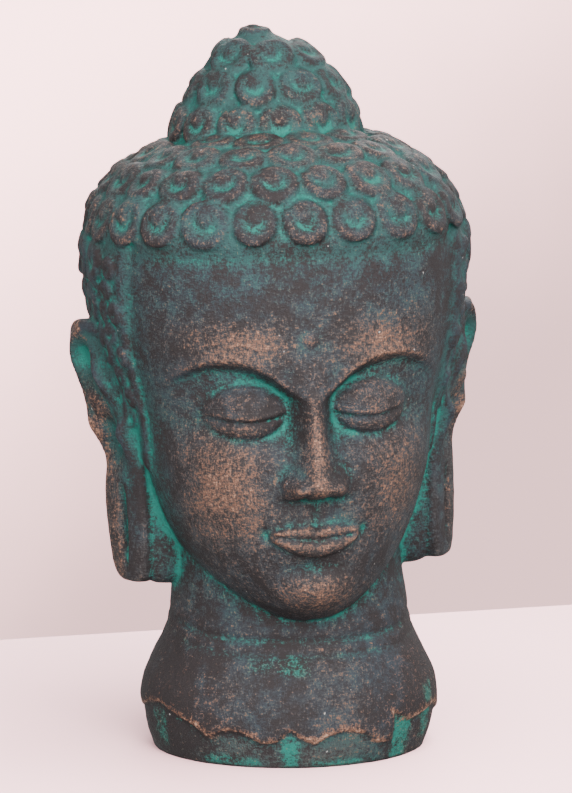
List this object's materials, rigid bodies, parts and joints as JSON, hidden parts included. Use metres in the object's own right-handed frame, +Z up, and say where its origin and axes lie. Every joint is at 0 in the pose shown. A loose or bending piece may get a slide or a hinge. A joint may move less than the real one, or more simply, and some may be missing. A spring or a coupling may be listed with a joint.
{
  "type": "chalkware buddha head",
  "caption": "Painted chalkware head of the Buddha with snail curls, a rounded topknot and long ear lobes, cast in one piece with its neck and flared foot.",
  "frame": {"origin": "centre of the flat underside of the foot", "axes": "+Z up, the face looks along -Y, +X towards the head's own left ear"},
  "size_m": [0.1876, 0.2079, 0.3285],
  "materials": {
    "verdigris_paint": "matt black-brown paint over plaster, with verdigris green left in the hollows and copper rubbed on the high places"
  },
  "bodies": {
    "root": {"buddha_head": "verdigris_paint"}
  },
  "joints": []
}
